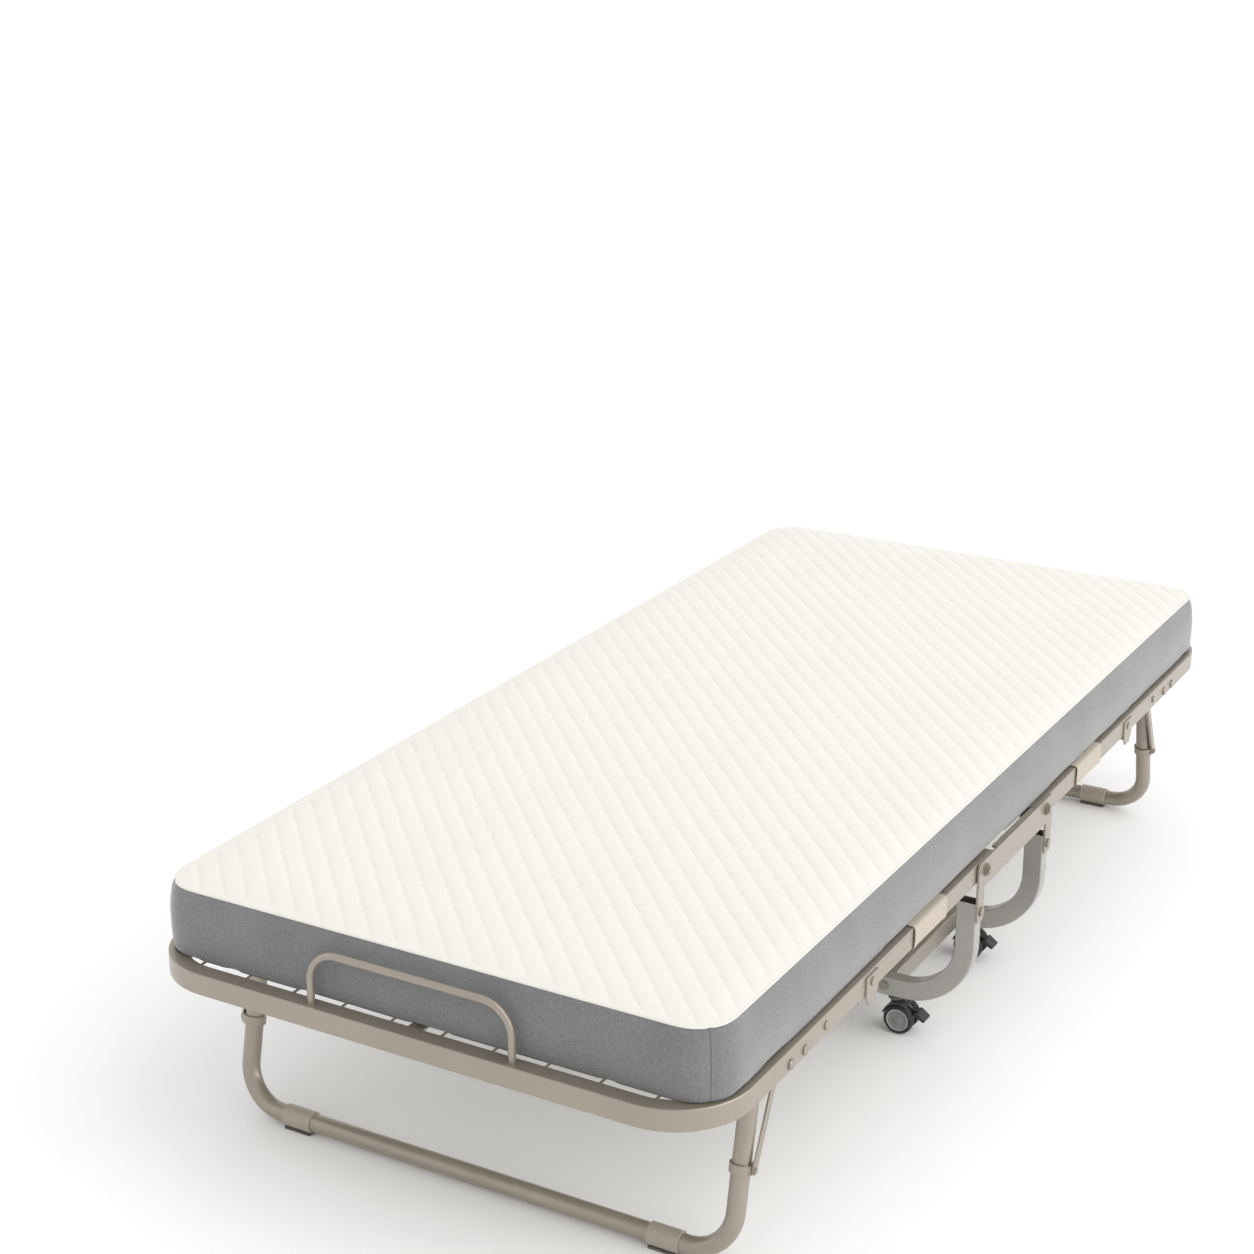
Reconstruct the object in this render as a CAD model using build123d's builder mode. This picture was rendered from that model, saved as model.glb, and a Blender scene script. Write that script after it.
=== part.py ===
"""Folding cot: two hinged frame halves on a wheeled base, end legs, wire mesh and a foam mattress.

X runs across the cot, Y along it (foot end at -Y) and Z up. The origin is on the floor under the centre.
The model stands unfolded. Lengths are in millimetres.
"""

import os
from math import atan2, cos, hypot, sin

from build123d import *

# Overall sizes
frame_length = 1900.0
frame_width = 850.0
rail_top = 296.0
pivot_spacing = 244.0

# Rectangular tube of the frame halves and of the base
rail_height = 30.0
rail_width = 25.0
rail_bend = 92.0
tube_wall = 1.5
tube_corner = 2.0
tail_length = 35.0

# Mattress
mattress_side_margin = 7.0
mattress_end_margin = 27.5
mattress_thickness = 97.0
mattress_lift = 2.0
mattress_corner = 55.0
mattress_edge = 10.0
mattress_gap = 0.4

# Cross tubes, wires and flat bars of a half: the first is measured from the pivot line, the rest from the end
inner_bar_offset = 28.0
middle_bar_inset = 422.0
outer_bar_inset = 358.0
bar_width = 25.0
bar_height = 16.0
wire_diameter = 3.5
wire_weld = 0.5
wire_pitch = 75.0
wire_edge_margin = 50.0
mesh_cells = 5
centre_bar_width = 22.0
centre_bar_thickness = 3.0

# Base
link_gap = 1.5
link_thickness = 3.0
link_height = 42.0
link_reach = 26.0
link_ear_drop = 52.0
ear_bolt_drop = 14.0
flange_depth = 7.0
flange_margin = 2.0
base_tube_depth = 22.0
base_bend = 95.0
base_bottom = 55.0
base_frame_setback = 13.0
base_drop = 47.0
side_bar_inset = 26.5
side_bar_width = 20.0
shaft_radius = 7.0
nut_radius = 9.0
nut_thickness = 5.0
bolt_radius = 4.0
bolt_head_radius = 7.0
bolt_head_height = 3.0

# Pivot stops: open cups under the rail tails
stop_length = 24.0
stop_depth = 10.0
stop_wall = 2.0

# End legs
leg_tube_radius = 12.5
leg_inset = 49.0
leg_bend = 60.0
leg_pivot_inset = 205.0
leg_foot_inset = 150.0
leg_pivot_drop = 20.0
leg_top_reach = 12.0
leg_axle_reach = 75.0
collar_radius = 15.0
collar_length = 46.0
collar_inset = 31.0
pad_height = 4.0
pad_width = 20.0
floor_gap = 2.0

# Leg braces and the clips that slide on the leg
brace_offset = 40.0
brace_clip_reach = 145.0
brace_width = 12.0
brace_thickness = 2.5
brace_plane_gap = 4.7
clip_length = 12.0
clip_wall = 3.0
clip_ear_width = 16.0

# Leg catches on the side rails
catch_inset = 441.0
catch_length = 36.0
catch_height = 42.0
catch_thickness = 2.5
catch_drop = 14.0
catch_peg_radius = 3.5
catch_peg_reach = 34.0
rivet_inset = 305.0
rivet_radius = 3.0

# Standing loops at the ends, the latch and the carry handle
loop_width = 298.0
latch_rail_gap = 0.2
loop_radius = 5.0
loop_bend = 42.0
latch_x = -60.0
latch_width = 20.0
latch_wall = 2.2
handle_width = 170.0
handle_depth = 48.0
handle_radius = 4.0
handle_bend = 18.0
handle_drop = 8.0
handle_pin = 20.0
handle_clip_width = 9.0
handle_clip_wall = 3.0

# Cloth sleeves round the side rails
sleeve_offset = 140.0
sleeve_length = 110.0
sleeve_thickness = 1.2
sleeve_gap = 0.4

# Casters
caster_inset = 10.5
wheel_radius = 23.0
wheel_width = 13.0
wheel_spread = 6.5
tyre_depth = 5.5
caster_trail = 10.0
fork_web = 4.0
fork_boss = 8.0
fork_top_radius = 12.0
fork_top_height = 4.0
stem_radius = 5.0
stem_height = 14.0
wheel_axle_radius = 3.0
brake_arm = 26.0
brake_pin_radius = 2.0
brake_pin_x = 12.0
brake_pin_rise = 13.0
brake_pad_width = 22.0

# Clearances: a running fit, and the gap that keeps neighbouring moving pieces apart
running = 0.05
moving_gap = 0.3

# Places worked out from the sizes above
pivot_y = pivot_spacing / 2
rail_z = rail_top - rail_height / 2
rail_x = (frame_width - rail_width) / 2
rail_inner_x = frame_width / 2 - rail_width
end_rail_y = (frame_length - rail_width) / 2
link_x = frame_width / 2 + link_gap
base_y = pivot_y + base_frame_setback
base_x = link_x - rail_height / 2
base_top = rail_z - base_drop
base_z = base_bottom + rail_height / 2
side_bar_x = base_x - base_bend - side_bar_inset
caster_x = base_x - base_bend - caster_inset
base_outer_y = base_y + base_tube_depth / 2
ear_bolt_z = base_top - ear_bolt_drop
wire_radius = wire_diameter / 2
long_wire_z = rail_top - wire_radius - 1.0
cross_wire_z = long_wire_z - wire_diameter + wire_weld
bar_top = long_wire_z - wire_radius
wires_per_side = int((rail_inner_x - wire_edge_margin) / wire_pitch + 0.5)
outer_wire_x = (wires_per_side - 0.5) * wire_pitch
middle_bar_y = frame_length / 2 - middle_bar_inset
outer_bar_y = frame_length / 2 - outer_bar_inset
mattress_width = frame_width - 2 * mattress_side_margin
mattress_length = frame_length - 2 * mattress_end_margin
mattress_bottom = rail_top + mattress_lift
leg_x = frame_width / 2 - leg_inset
leg_pivot_y = frame_length / 2 - leg_pivot_inset
leg_pivot_z = rail_top - leg_pivot_drop
leg_foot_y = frame_length / 2 - leg_foot_inset
leg_foot_z = collar_radius + floor_gap
leg_rake = atan2(leg_foot_y - leg_pivot_y, leg_pivot_z - leg_foot_z)
collar_x = leg_x - leg_bend - collar_inset
catch_y = frame_length / 2 - catch_inset
rivet_y = frame_length / 2 - rivet_inset
brace_bolt_y = leg_pivot_y - brace_offset
clip_y = leg_pivot_y + brace_clip_reach * sin(leg_rake)
clip_z = leg_pivot_z - brace_clip_reach * cos(leg_rake)
brace_x = rail_inner_x - brace_plane_gap - brace_thickness
latch_hook = loop_radius + 2 * moving_gap + latch_wall
loop_rise = (pivot_spacing + rail_height / 2 + latch_hook + latch_rail_gap) / 3
latch_reach = pivot_spacing - 2 * loop_rise
loop_z = rail_z + loop_rise
handle_y = end_rail_y
handle_z = rail_top - rail_height - handle_drop
wheel_z = wheel_radius
side_signs = (-1, 1)
ends = {"foot": -1, "head": 1}


def save(part, label):
    """Name a finished piece and write its STEP file."""
    part.label = label
    export_step(part, f"parts/{label}.step")


def rectangular_ring(width, height):
    """Section of a rectangular tube with rounded corners, inside the current sketch."""
    RectangleRounded(width, height, tube_corner)
    Rectangle(width - 2 * tube_wall, height - 2 * tube_wall, mode=Mode.SUBTRACT)


def round_ring(radius):
    """Section of a round tube, inside the current sketch."""
    Circle(radius)
    Circle(radius - tube_wall, mode=Mode.SUBTRACT)


def along_x(radius, start, finish, y, z, mode=Mode.ADD):
    """A round bar or a hole parallel to X, inside the current part."""
    with Locations(((start + finish) / 2, y, z)):
        Cylinder(radius, abs(finish - start), rotation=(0, 90, 0), mode=mode)


def along_y(radius, start, finish, x, z, mode=Mode.ADD):
    """A round bar or a hole parallel to Y, inside the current part."""
    with Locations((x, (start + finish) / 2, z)):
        Cylinder(radius, abs(finish - start), rotation=(90, 0, 0), mode=mode)


def domed_bolt(side, y, z, outer_x, inner_x, radius, head_radius, head_height):
    """A bolt parallel to X with a domed head outside, on the side given by the sign."""
    with BuildPart() as bolt:
        along_x(radius, side * outer_x, side * inner_x, y, z)
        along_x(head_radius, side * outer_x, side * (outer_x + head_height), y, z)
        rim = bolt.edges().filter_by(GeomType.CIRCLE).sort_by(Axis.X)
        fillet(rim[-1] if side > 0 else rim[0], head_height * 0.6)
    return bolt.part


# ---------------------------------------------------------------- base


def base_frame(end):
    """U of rectangular tube that stands across the cot below one pivot line."""
    y = end * base_y
    with BuildPart() as frame:
        with BuildLine() as path:
            FilletPolyline(
                (-base_x, y, base_top),
                (-base_x, y, base_z),
                (base_x, y, base_z),
                (base_x, y, base_top),
                radius=base_bend,
            )
        with BuildSketch(Plane(origin=path.line @ 0, x_dir=(1, 0, 0), z_dir=(0, 0, -1))):
            rectangular_ring(rail_height, base_tube_depth)
        sweep()
        for side in side_signs:
            along_y(bolt_radius + running, end * (base_y - base_tube_depth), end * base_outer_y * 1.01,
                    side * side_bar_x, base_z, Mode.SUBTRACT)
            along_x(bolt_radius + running, side * base_x, side * (link_x + 1), y, ear_bolt_z, Mode.SUBTRACT)
            with Locations((side * caster_x, y, base_bottom + tube_wall)):
                Cylinder(stem_radius + running, 4 * tube_wall, mode=Mode.SUBTRACT)
    return frame.part


def side_link(side):
    """Channel plate outside the rails, with an ear over the top of each base frame."""
    top = rail_top + 2.0
    bottom = top - link_height
    ear_bottom = bottom - link_ear_drop
    reach = pivot_y + link_reach
    ear_inner = base_y - base_tube_depth / 2
    flange_reach = pivot_y - hypot(tail_length, rail_height / 2 + stop_depth) - flange_margin
    with BuildPart() as link:
        with BuildSketch(Plane.YZ.offset(side * link_x)):
            with BuildLine():
                Polyline(
                    (-reach, top), (reach, top), (reach, ear_bottom), (ear_inner, ear_bottom),
                    (ear_inner, bottom), (-ear_inner, bottom), (-ear_inner, ear_bottom),
                    (-reach, ear_bottom), close=True,
                )
            make_face()
        extrude(amount=side * link_thickness)
        corners = link.edges().filter_by(Axis.X).group_by(Axis.Z)
        fillet(corners[-1] + corners[0], 6.0)
        for z in (top - link_thickness / 2, bottom + link_thickness / 2):
            with Locations((side * (link_x - flange_depth / 2), 0, z)):
                Box(flange_depth, 2 * flange_reach, link_thickness)
        for end in ends.values():
            along_x(shaft_radius + running, side * (link_x - 1), side * (link_x + link_thickness + 1),
                    end * pivot_y, rail_z, Mode.SUBTRACT)
            along_x(bolt_radius + running, side * (link_x - 1), side * (link_x + link_thickness + 1),
                    end * base_y, ear_bolt_z, Mode.SUBTRACT)
    return link.part


def pivot_shaft(end):
    """Cross shaft that one frame half turns on, threaded into the nuts outside the links."""
    half = link_x + link_thickness + nut_thickness * 0.7
    with BuildPart() as shaft:
        along_x(shaft_radius, -half, half, end * pivot_y, rail_z)
        chamfer(shaft.edges().filter_by(GeomType.CIRCLE), 0.8)
    return shaft.part


def pivot_nuts():
    """Cap nuts on the ends of both pivot shafts."""
    with BuildPart() as nuts:
        for side in side_signs:
            start = side * (link_x + link_thickness)
            for end in ends.values():
                along_x(nut_radius, start, start + side * nut_thickness, end * pivot_y, rail_z)
                along_x(nut_radius * 0.62, start, start + side * (nut_thickness + 2), end * pivot_y, rail_z)
                along_x(shaft_radius + running, start, start + side * nut_thickness * 0.7,
                        end * pivot_y, rail_z, Mode.SUBTRACT)
    return nuts.part


def lower_side_bars():
    """Two bars that join the cross tubes of the base frames near the casters."""
    with BuildPart() as bars:
        for side in side_signs:
            with BuildSketch(Plane.XZ.offset(-(base_y - base_tube_depth / 2))):
                with Locations((side * side_bar_x, base_z)):
                    rectangular_ring(side_bar_width, rail_height)
            extrude(amount=2 * base_y - base_tube_depth)
    return bars.part


def base_bolts():
    """Bolts through the cross tubes into the side bars, and through the link ears into the base legs."""
    with BuildPart() as bolts:
        for side in side_signs:
            for end in ends.values():
                face = end * base_outer_y
                x = side * side_bar_x
                along_y(bolt_radius, face, end * (base_outer_y - base_tube_depth - 8), x, base_z)
                along_y(bolt_head_radius, face, face + end * bolt_head_height, x, base_z)
                plate = side * (link_x + link_thickness)
                along_x(bolt_radius, side * (base_x + 4), plate, end * base_y, ear_bolt_z)
                along_x(bolt_head_radius, plate, plate + side * bolt_head_height, end * base_y, ear_bolt_z)
    return bolts.part


# ---------------------------------------------------------------- frame halves


def half_frame(end):
    """U of rectangular tube: two side rails, rounded corners and the end rail."""
    tail_y = end * (pivot_y - tail_length)
    far_y = end * end_rail_y
    with BuildPart() as frame:
        with BuildLine() as path:
            FilletPolyline(
                (-rail_x, tail_y, rail_z),
                (-rail_x, far_y, rail_z),
                (rail_x, far_y, rail_z),
                (rail_x, tail_y, rail_z),
                radius=rail_bend,
            )
        with BuildSketch(Plane(origin=path.line @ 0, x_dir=(1, 0, 0), z_dir=(0, end, 0))):
            rectangular_ring(rail_width, rail_height)
        sweep()
        for side in side_signs:
            for y, z, radius in rail_holes(end):
                along_x(radius, side * (rail_inner_x - 1), side * (frame_width / 2 + 1), y, z, Mode.SUBTRACT)
    return frame.part


def rail_holes(end):
    """Place and radius of every cross hole in a side rail."""
    return (
        (end * pivot_y, rail_z, shaft_radius + running),
        (end * leg_pivot_y, leg_pivot_z, bolt_radius + running),
        (end * brace_bolt_y, leg_pivot_z, bolt_radius + running),
        (end * rivet_y, rail_z, rivet_radius + running),
        (end * catch_y, rail_z, rivet_radius + running),
    )


def bar_places():
    """Outward distances of the three cross tubes from the middle of the cot."""
    return pivot_y + inner_bar_offset, middle_bar_y, outer_bar_y


def crossbars(end):
    """Three cross tubes welded between the side rails."""
    with BuildPart() as bars:
        with BuildSketch(Plane.YZ.offset(-rail_inner_x)):
            with Locations(*[(end * y, bar_top - bar_height / 2) for y in bar_places()]):
                rectangular_ring(bar_width, bar_height)
        extrude(amount=2 * rail_inner_x)
    return bars.part


def mesh_spans():
    """Start and finish of the two wire grids, measured outward along Y."""
    inner = (pivot_y + inner_bar_offset, middle_bar_y)
    outer = (outer_bar_y, frame_length / 2 - rail_width)
    return inner, outer


def cross_wire_places(start, finish):
    """Outward distances of the cross wires in one grid."""
    return [start + (finish - start) * step / mesh_cells for step in range(1, mesh_cells)]


def frame_opening(end):
    """The space inside a frame half seen from above, with its rounded corners, in the current sketch."""
    depth = frame_length / 2 - rail_width
    with Locations((0, end * depth / 2)):
        Rectangle(2 * rail_inner_x, depth)
    corners = [vertex for vertex in vertices() if end * vertex.Y > depth / 2]
    fillet(corners, rail_bend - rail_width / 2)


def wire_mesh(end):
    """Two welded grids: long wires over the cross tubes, cross wires just below them."""
    with BuildPart() as mesh:
        for start, finish in mesh_spans():
            for side in side_signs:
                for step in range(wires_per_side):
                    x = side * (step + 0.5) * wire_pitch
                    along_y(wire_radius, end * start, end * finish, x, long_wire_z)
            for y in cross_wire_places(start, finish):
                along_x(wire_radius, -rail_inner_x, rail_inner_x, end * y, cross_wire_z)
        with BuildSketch(Plane.XY.offset(cross_wire_z - wire_diameter)):
            frame_opening(end)
        extrude(amount=3 * wire_diameter, mode=Mode.INTERSECT)
    return mesh.part


def centre_bars(end):
    """Flat bars along the middle of both grids."""
    top = bar_top + centre_bar_thickness / 2
    lift = cross_wire_z + wire_radius - bar_top
    with BuildPart() as bars:
        for start, finish in mesh_spans():
            with Locations((0, end * (start + finish) / 2, top + lift)):
                Box(centre_bar_width, finish - start, centre_bar_thickness)
    return bars.part


def pivot_stops(end):
    """Open cups under the tails of the side rails."""
    y = end * (pivot_y - tail_length + stop_length / 2 + 1)
    z = rail_top - rail_height - stop_depth / 2
    with BuildPart() as stops:
        for side in side_signs:
            with Locations((side * rail_x, y, z)):
                Box(rail_width, stop_length, stop_depth)
            with Locations((side * rail_x, y, z - stop_wall)):
                Box(rail_width - 2 * stop_wall, stop_length - 2 * stop_wall, stop_depth, mode=Mode.SUBTRACT)
    return stops.part


def rail_bolts(end):
    """Leg axles, brace bolts with spacer and nut, and rivets through the side rails."""
    outer = frame_width / 2
    bolts = []
    for side in side_signs:
        bolts.append(
            domed_bolt(side, end * leg_pivot_y, leg_pivot_z, outer, outer - leg_axle_reach,
                       bolt_radius, bolt_head_radius, bolt_head_height)
        )
        bolts.append(
            domed_bolt(side, end * rivet_y, rail_z, outer, rail_inner_x - 1.5,
                       rivet_radius, bolt_head_radius - 1, bolt_head_height)
        )
        bolts.append(brace_bolt(side, end * brace_bolt_y))
    with BuildPart() as group:
        for bolt in bolts:
            add(bolt)
    return group.part


def brace_bolt(side, y):
    """Bolt with a spacer against the rail and a nut inside the brace."""
    outer = frame_width / 2
    spacer = brace_x + brace_thickness + moving_gap
    nut = brace_x - moving_gap
    with BuildPart() as bolt:
        along_x(bolt_radius, side * outer, side * (nut - 2.8), y, leg_pivot_z)
        along_x(bolt_head_radius, side * outer, side * (outer + bolt_head_height), y, leg_pivot_z)
        along_x(bolt_radius + 2, side * rail_inner_x, side * spacer, y, leg_pivot_z)
        along_x(bolt_radius + 2, side * nut, side * (nut - 2.8), y, leg_pivot_z)
        rim = bolt.edges().filter_by(GeomType.CIRCLE).sort_by(Axis.X)
        fillet(rim[-1] if side > 0 else rim[0], bolt_head_height * 0.6)
    return bolt.part


def leg_catches(end):
    """Plate on each side rail with a rivet above and a peg below, beside the folded leg."""
    y = end * catch_y
    outer = frame_width / 2
    top = rail_top - 4.0
    peg_z = rail_top - rail_height - 1.0 - catch_peg_radius - 4.0
    with BuildPart() as catches:
        for side in side_signs:
            with BuildSketch(Plane.YZ.offset(side * outer)):
                with BuildLine():
                    Polyline(
                        (y - catch_length / 2, top),
                        (y + catch_length / 2, top),
                        (y + catch_length / 2, top - catch_height + catch_drop),
                        (y + catch_length / 4, top - catch_height),
                        (y - catch_length / 4, top - catch_height),
                        (y - catch_length / 2, top - catch_height + catch_drop),
                        close=True,
                    )
                make_face()
            extrude(amount=side * catch_thickness)
            along_x(catch_peg_radius, side * (outer + catch_thickness / 2), side * (outer - catch_peg_reach),
                    y, peg_z)
            along_x(rivet_radius, side * (outer + catch_thickness / 2), side * (rail_inner_x - 1.0), y, rail_z)
            along_x(bolt_head_radius - 1, side * (outer + catch_thickness / 2),
                    side * (outer + catch_thickness + 2), y, rail_z)
    return catches.part


def mattress_loop(end):
    """Round bar loop standing on the end rail."""
    y = end * end_rail_y
    with BuildPart() as loop:
        with BuildLine() as path:
            FilletPolyline(
                (-loop_width / 2, y, rail_top),
                (-loop_width / 2, y, loop_z),
                (loop_width / 2, y, loop_z),
                (loop_width / 2, y, rail_top),
                radius=loop_bend,
            )
        with BuildSketch(Plane(origin=path.line @ 0, z_dir=(0, 0, 1))):
            Circle(loop_radius)
        sweep()
    return loop.part


def sleeve_outline(side, grow):
    """Outline round the side rail and the outermost long wire, grown by a gap, in the current sketch."""
    with Locations((side * rail_x, rail_z)):
        Rectangle(rail_width + 2 * grow, rail_height + 2 * grow)
    with Locations((side * outer_wire_x, long_wire_z)):
        Circle(wire_radius + grow)
    make_hull()


def sleeves(end):
    """Cloth sleeves round both side rails, slit where cross wires pass through."""
    start = pivot_y + sleeve_offset
    inner_span = mesh_spans()[0]
    with BuildPart() as pair:
        for side in side_signs:
            with BuildSketch(Plane.XZ.offset(-end * start)) as cloth:
                sleeve_outline(side, sleeve_gap + sleeve_thickness)
            with BuildSketch(Plane.XZ.offset(-end * start), mode=Mode.PRIVATE) as hollow:
                sleeve_outline(side, sleeve_gap)
            extrude(amount=-end * sleeve_length)
            extrude(hollow.sketch, amount=-end * sleeve_length, mode=Mode.SUBTRACT)
        for y in cross_wire_places(*inner_span):
            if start - wire_diameter < y < start + sleeve_length + wire_diameter:
                along_x(wire_radius + sleeve_gap, -rail_inner_x, rail_inner_x, end * y, cross_wire_z,
                        Mode.SUBTRACT)
    return pair.part


def half_mattress(end):
    """The mattress over one frame half, with rounded outer corners."""
    near = pivot_y + mattress_gap
    far = mattress_length / 2
    with BuildPart() as pad:
        with Locations((0, end * (near + far) / 2, mattress_bottom + mattress_thickness / 2)):
            Box(mattress_width, far - near, mattress_thickness)
        corners = pad.edges().filter_by(Axis.Z).group_by(Axis.Y)
        fillet(corners[0] if end < 0 else corners[-1], mattress_corner)
        outer = pad.faces().filter_by(Axis.Z).edges().filter_by(lambda edge: end * edge.center().Y > near + 1)
        fillet(outer, mattress_edge)
    return pad.part


def middle_mattress():
    """The mattress between the pivot lines, which bends when the cot folds."""
    with BuildPart() as pad:
        with Locations((0, 0, mattress_bottom + mattress_thickness / 2)):
            Box(mattress_width, 2 * (pivot_y - mattress_gap), mattress_thickness)
        fillet(pad.edges().filter_by(Axis.Y), mattress_edge)
    return pad.part


# ---------------------------------------------------------------- end legs


def leg(end):
    """U of round tube that hangs from the side rails and leans outward."""
    lean = (0, end * sin(leg_rake), -cos(leg_rake))
    top = Vector(lean) * -leg_top_reach + Vector(0, end * leg_pivot_y, leg_pivot_z)
    foot = Vector(0, end * leg_foot_y, leg_foot_z)
    with BuildPart() as tube:
        with BuildLine() as path:
            FilletPolyline(
                top - Vector(leg_x, 0, 0),
                foot - Vector(leg_x, 0, 0),
                foot + Vector(leg_x, 0, 0),
                top + Vector(leg_x, 0, 0),
                radius=leg_bend,
            )
        with BuildSketch(Plane(origin=path.line @ 0, x_dir=(1, 0, 0), z_dir=lean)):
            round_ring(leg_tube_radius)
        sweep()
        for side in side_signs:
            along_x(bolt_radius + running, side * (leg_x - 20), side * (leg_x + 20),
                    end * leg_pivot_y, leg_pivot_z, Mode.SUBTRACT)
    return tube.part


def leg_collars(end):
    """Two collars on the foot tube of a leg."""
    with BuildPart() as collars:
        for side in side_signs:
            start = side * collar_x - collar_length / 2
            along_x(collar_radius, start, start + collar_length, end * leg_foot_y, leg_foot_z)
        chamfer(collars.edges().filter_by(GeomType.CIRCLE), 0.8)
        for side in side_signs:
            start = side * collar_x - collar_length / 2
            along_x(leg_tube_radius + running, start - 1, start + collar_length + 1,
                    end * leg_foot_y, leg_foot_z, Mode.SUBTRACT)
    return collars.part


def leg_pads(end):
    """Rubber pads under the collars, which stand on the floor."""
    with BuildPart() as pads:
        for side in side_signs:
            with Locations((side * collar_x, end * leg_foot_y, pad_height / 2)):
                Box(collar_length - 4, pad_width, pad_height)
        for side in side_signs:
            start = side * collar_x - collar_length
            along_x(collar_radius + running, start, start + 2 * collar_length,
                    end * leg_foot_y, leg_foot_z, Mode.SUBTRACT)
    return pads.part


def braces(end):
    """Flat bars from the rail bolts to the clips on the leg."""
    hinge = (end * brace_bolt_y, leg_pivot_z)
    foot = (end * clip_y, clip_z)
    with BuildPart() as bars:
        for side in side_signs:
            plane = Plane.YZ.offset(side * brace_x)
            with BuildSketch(plane):
                with Locations(hinge, foot):
                    Circle(brace_width / 2)
                make_hull()
                with Locations(hinge):
                    Circle(bolt_radius + running, mode=Mode.SUBTRACT)
            extrude(amount=side * brace_thickness)
            outer_face = side * (brace_x + brace_thickness)
            along_x(bolt_radius, outer_face, outer_face + side * 2.0, foot[0], foot[1])
    return bars.part


def brace_clips(end):
    """Clips round the leg tubes with an ear that faces the brace."""
    lean = Vector(0, end * sin(leg_rake), -cos(leg_rake))
    ear_face = brace_x - 2 * moving_gap
    with BuildPart() as clips:
        for side in side_signs:
            centre = Vector(side * leg_x, end * clip_y, clip_z)
            plane = Plane(origin=centre - lean * (clip_length / 2), x_dir=(1, 0, 0), z_dir=lean)
            with BuildSketch(plane):
                Circle(leg_tube_radius + clip_wall)
                with Locations((side * (ear_face - leg_x) / 2, 0)):
                    Rectangle(ear_face - leg_x, clip_ear_width)
                Circle(leg_tube_radius + running, mode=Mode.SUBTRACT)
            extrude(amount=clip_length)
    return clips.part


# ---------------------------------------------------------------- head end fittings


def carry_handle():
    """Bail that hangs below the head end rail, with its pins turned inward."""
    x = handle_width / 2
    low = handle_z - handle_depth
    with BuildPart() as handle:
        with BuildLine() as path:
            FilletPolyline(
                (-x + handle_pin, handle_y, handle_z),
                (-x, handle_y, handle_z),
                (-x, handle_y, low),
                (x, handle_y, low),
                (x, handle_y, handle_z),
                (x - handle_pin, handle_y, handle_z),
                radius=[handle_radius + 2, handle_bend, handle_bend, handle_radius + 2],
            )
        with BuildSketch(Plane(origin=path.line @ 0, z_dir=(-1, 0, 0))):
            Circle(handle_radius)
        sweep()
    return handle.part


def carry_handle_clips():
    """Two lugs under the head end rail that hold the pins of the carry handle."""
    outer = handle_radius + handle_clip_wall
    x = handle_width / 2 - handle_pin + handle_clip_width / 2 + 1
    with BuildPart() as clips:
        for side in side_signs:
            with BuildSketch(Plane.YZ.offset(side * x - handle_clip_width / 2)):
                with Locations((handle_y, handle_z)):
                    Circle(outer)
                with Locations((handle_y, handle_z + handle_drop / 2)):
                    Rectangle(2 * outer, handle_drop)
                with Locations((handle_y, handle_z)):
                    Circle(handle_radius + running, mode=Mode.SUBTRACT)
            extrude(amount=handle_clip_width)
    return clips.part


def loop_latch():
    """Clip that hangs from the head loop and hooks the foot loop when the cot is folded."""
    ring_inner = loop_radius + running
    ring_outer = ring_inner + latch_wall
    with BuildPart() as latch:
        with BuildSketch(Plane.YZ.offset(latch_x - latch_width / 2)):
            with Locations((end_rail_y, loop_z)):
                Circle(ring_outer)
            with Locations((end_rail_y, loop_z - latch_reach)):
                Circle(latch_hook)
            with Locations((end_rail_y - ring_outer + latch_wall / 2, loop_z - latch_reach / 2)):
                Rectangle(latch_wall, latch_reach)
            with Locations((end_rail_y, loop_z)):
                Circle(ring_inner, mode=Mode.SUBTRACT)
            with Locations((end_rail_y, loop_z - latch_reach)):
                Circle(latch_hook - latch_wall, mode=Mode.SUBTRACT)
            with Locations((end_rail_y + latch_hook, loop_z - latch_reach)):
                Rectangle(2 * latch_hook, 2 * latch_hook, mode=Mode.SUBTRACT)
        extrude(amount=latch_width)
    return latch.part


# ---------------------------------------------------------------- casters


def caster_place(side, end):
    """Stem X, wheel X and centre Y of one caster, and the side that its brake points to."""
    stem_x = side * caster_x
    return stem_x, stem_x + side * caster_trail, end * base_y


def caster_fork(side, end):
    """Swivel plate with its stem, the web between the wheels and the brake pin."""
    stem_x, wheel_x, y = caster_place(side, end)
    top = base_bottom - moving_gap
    pin_x = wheel_x + side * brake_pin_x
    pin_z = wheel_z + brake_pin_rise
    with BuildPart() as fork:
        with BuildSketch(Plane.XZ.offset(-y - fork_web / 2)):
            with Locations((wheel_x, wheel_z)):
                Circle(fork_boss)
            with Locations((pin_x, pin_z)):
                Circle(brake_pin_radius + 3)
            with Locations((stem_x, top - fork_top_height / 2)):
                Rectangle(2 * fork_top_radius - 4, fork_top_height)
            make_hull()
        extrude(amount=fork_web)
        along_y(fork_boss, y - wheel_spread + moving_gap, y + wheel_spread - moving_gap, wheel_x, wheel_z)
        along_y(brake_pin_radius, y - wheel_spread + 1.2, y + wheel_spread - 1.2, pin_x, pin_z)
        with Locations((stem_x, y, top - fork_top_height / 2)):
            Cylinder(fork_top_radius, fork_top_height)
        with Locations((stem_x, y, top + stem_height / 2)):
            Cylinder(stem_radius, stem_height)
        along_y(wheel_axle_radius + running, y - wheel_spread, y + wheel_spread, wheel_x, wheel_z, Mode.SUBTRACT)
    return fork.part


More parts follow.
